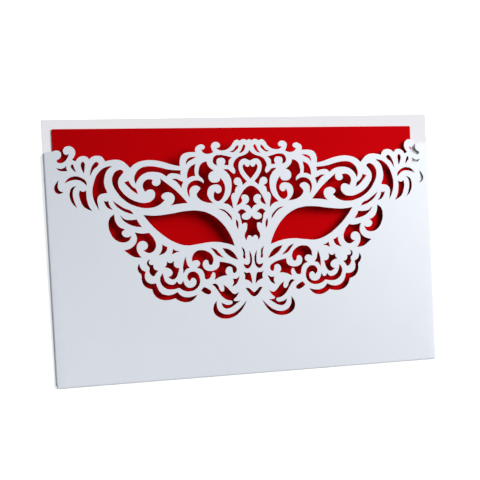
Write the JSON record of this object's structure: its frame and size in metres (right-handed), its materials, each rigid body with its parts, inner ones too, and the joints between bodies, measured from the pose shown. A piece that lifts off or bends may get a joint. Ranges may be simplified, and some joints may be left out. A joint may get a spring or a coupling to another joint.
{
  "type": "laser-cut invitation card",
  "caption": "Folded pearl card pocket with a half-mask cut-out in its bowed front and a plain red card inside.",
  "frame": {"origin": "centre of the box's lowest face, under the middle of the card as it lies on its back", "axes": "+X across the card to the right, +Y from the bottom fold to the open top, +Z out of the front face"},
  "size_m": [0.185, 0.12, 0.0085],
  "materials": {
    "pearl_card": "satin",
    "red_card": "matte"
  },
  "bodies": {
    "root": {"pocket_card": "pearl_card", "insert_card": "red_card"}
  },
  "joints": []
}
